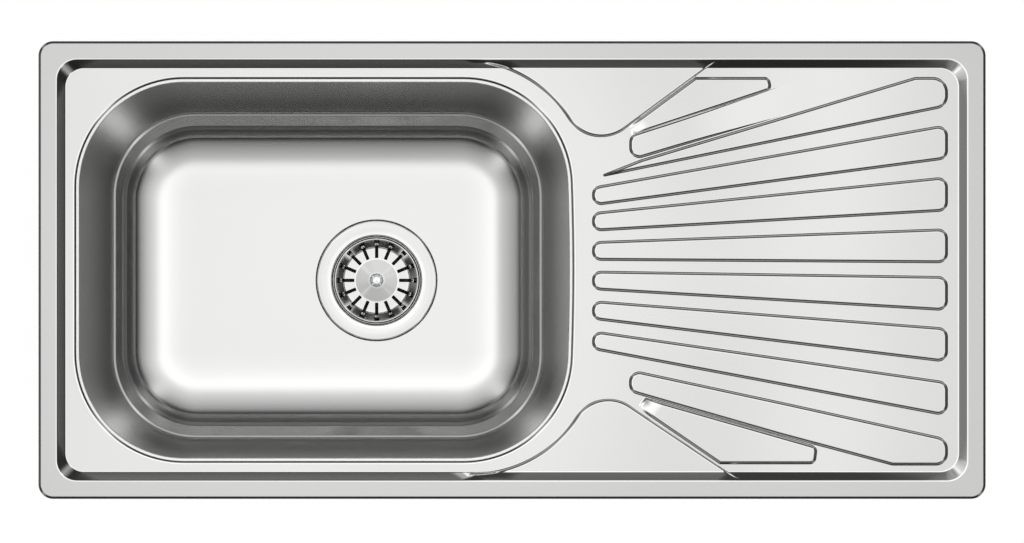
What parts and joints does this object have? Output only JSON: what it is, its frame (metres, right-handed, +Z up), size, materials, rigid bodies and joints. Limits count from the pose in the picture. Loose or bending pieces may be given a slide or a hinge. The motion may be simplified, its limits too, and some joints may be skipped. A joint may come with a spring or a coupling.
{
  "type": "kitchen sink with drainboard",
  "caption": "Inset stainless steel kitchen sink with one stepped bowl, a fan-ribbed drainboard, a lift-out basket strainer waste and swinging worktop clips.",
  "frame": {"origin": "middle of the rim's outline on the worktop plane, which is the underside of the rim seal", "axes": "+X towards the drainboard, +Y towards the back, +Z up out of the bowl"},
  "size_m": [0.9, 0.435, 0.2275],
  "materials": {
    "pressing": "satin stainless steel",
    "rail_steel": "plain stainless steel, spot welded",
    "clip_steel": "zinc-plated steel",
    "waste_steel": "polished stainless steel",
    "knob_chrome": "chrome-plated",
    "seal_rubber": "matt",
    "stopper_rubber": "matt",
    "slip_ring": "fibre",
    "nut_plastic": "moulded",
    "pad": "bitumen felt"
  },
  "bodies": {
    "sink": {"sink_pressing": "pressing", "rim_seal": "seal_rubber", "bowl_pad": "pad", "rail_left": "rail_steel", "rail_right": "rail_steel", "rail_front_bowl": "rail_steel", "rail_front_drainer": "rail_steel", "rail_back_bowl": "rail_steel", "rail_back_drainer": "rail_steel", "clip_brackets": "rail_steel", "clip_pins": "clip_steel", "strainer_body": "waste_steel", "flange_gasket": "seal_rubber", "sink_gasket": "seal_rubber", "friction_ring": "slip_ring", "lock_nut": "nut_plastic"},
    "stopper": {"stopper_seal": "stopper_rubber"},
    "basket": {"strainer_basket": "waste_steel", "basket_knob": "knob_chrome", "basket_stem": "waste_steel", "stem_spacer": "nut_plastic", "stem_nut": "waste_steel"},
    "arm_1": {"clip_arm_1": "clip_steel"},
    "screw_1": {"clip_screw_1": "clip_steel"},
    "arm_2": {"clip_arm_2": "clip_steel"},
    "screw_2": {"clip_screw_2": "clip_steel"},
    "arm_3": {"clip_arm_3": "clip_steel"},
    "screw_3": {"clip_screw_3": "clip_steel"},
    "arm_4": {"clip_arm_4": "clip_steel"},
    "screw_4": {"clip_screw_4": "clip_steel"},
    "arm_5": {"clip_arm_5": "clip_steel"},
    "screw_5": {"clip_screw_5": "clip_steel"},
    "arm_6": {"clip_arm_6": "clip_steel"},
    "screw_6": {"clip_screw_6": "clip_steel"},
    "arm_7": {"clip_arm_7": "clip_steel"},
    "screw_7": {"clip_screw_7": "clip_steel"},
    "arm_8": {"clip_arm_8": "clip_steel"},
    "screw_8": {"clip_screw_8": "clip_steel"}
  },
  "joints": [
    {"name": "basket_lift", "type": "slide", "parent": "sink", "child": "stopper", "axis": [0, 0, 1], "range_m": [0, 0.21]},
    {"name": "basket_turn", "type": "hinge", "parent": "stopper", "child": "basket", "pos_m": [-0.1297, -0.0099, -0.18], "axis": [0, 0, 1], "continuous": true},
    {"name": "arm_1_swing", "type": "hinge", "parent": "sink", "child": "arm_1", "pos_m": [-0.4301, 0, -0.017], "axis": [0, -1, 0], "range_deg": [-26.7, 13.3]},
    {"name": "screw_1_travel", "type": "slide", "parent": "arm_1", "child": "screw_1", "axis": [-0.4493, 0, 0.8934], "range_m": [-0.008, 0.008]},
    {"name": "arm_2_swing", "type": "hinge", "parent": "sink", "child": "arm_2", "pos_m": [0.4301, 0, -0.017], "axis": [0, 1, 0], "range_deg": [-26.7, 13.3]},
    {"name": "screw_2_travel", "type": "slide", "parent": "arm_2", "child": "screw_2", "axis": [0.4493, 0, 0.8934], "range_m": [-0.008, 0.008]},
    {"name": "arm_3_swing", "type": "hinge", "parent": "sink", "child": "arm_3", "pos_m": [-0.33, -0.1976, -0.017], "axis": [1, 0, 0], "range_deg": [-26.7, 13.3]},
    {"name": "screw_3_travel", "type": "slide", "parent": "arm_3", "child": "screw_3", "axis": [0, -0.4493, 0.8934], "range_m": [-0.008, 0.008]},
    {"name": "arm_4_swing", "type": "hinge", "parent": "sink", "child": "arm_4", "pos_m": [-0.08, -0.1976, -0.017], "axis": [1, 0, 0], "range_deg": [-26.7, 13.3]},
    {"name": "screw_4_travel", "type": "slide", "parent": "arm_4", "child": "screw_4", "axis": [0, -0.4493, 0.8934], "range_m": [-0.008, 0.008]},
    {"name": "arm_5_swing", "type": "hinge", "parent": "sink", "child": "arm_5", "pos_m": [0.3, -0.1976, -0.017], "axis": [1, 0, 0], "range_deg": [-26.7, 13.3]},
    {"name": "screw_5_travel", "type": "slide", "parent": "arm_5", "child": "screw_5", "axis": [0, -0.4493, 0.8934], "range_m": [-0.008, 0.008]},
    {"name": "arm_6_swing", "type": "hinge", "parent": "sink", "child": "arm_6", "pos_m": [-0.33, 0.1976, -0.017], "axis": [-1, 0, 0], "range_deg": [-26.7, 13.3]},
    {"name": "screw_6_travel", "type": "slide", "parent": "arm_6", "child": "screw_6", "axis": [0, 0.4493, 0.8934], "range_m": [-0.008, 0.008]},
    {"name": "arm_7_swing", "type": "hinge", "parent": "sink", "child": "arm_7", "pos_m": [-0.08, 0.1976, -0.017], "axis": [-1, 0, 0], "range_deg": [-26.7, 13.3]},
    {"name": "screw_7_travel", "type": "slide", "parent": "arm_7", "child": "screw_7", "axis": [0, 0.4493, 0.8934], "range_m": [-0.008, 0.008]},
    {"name": "arm_8_swing", "type": "hinge", "parent": "sink", "child": "arm_8", "pos_m": [0.3, 0.1976, -0.017], "axis": [-1, 0, 0], "range_deg": [-26.7, 13.3]},
    {"name": "screw_8_travel", "type": "slide", "parent": "arm_8", "child": "screw_8", "axis": [0, 0.4493, 0.8934], "range_m": [-0.008, 0.008]}
  ]
}
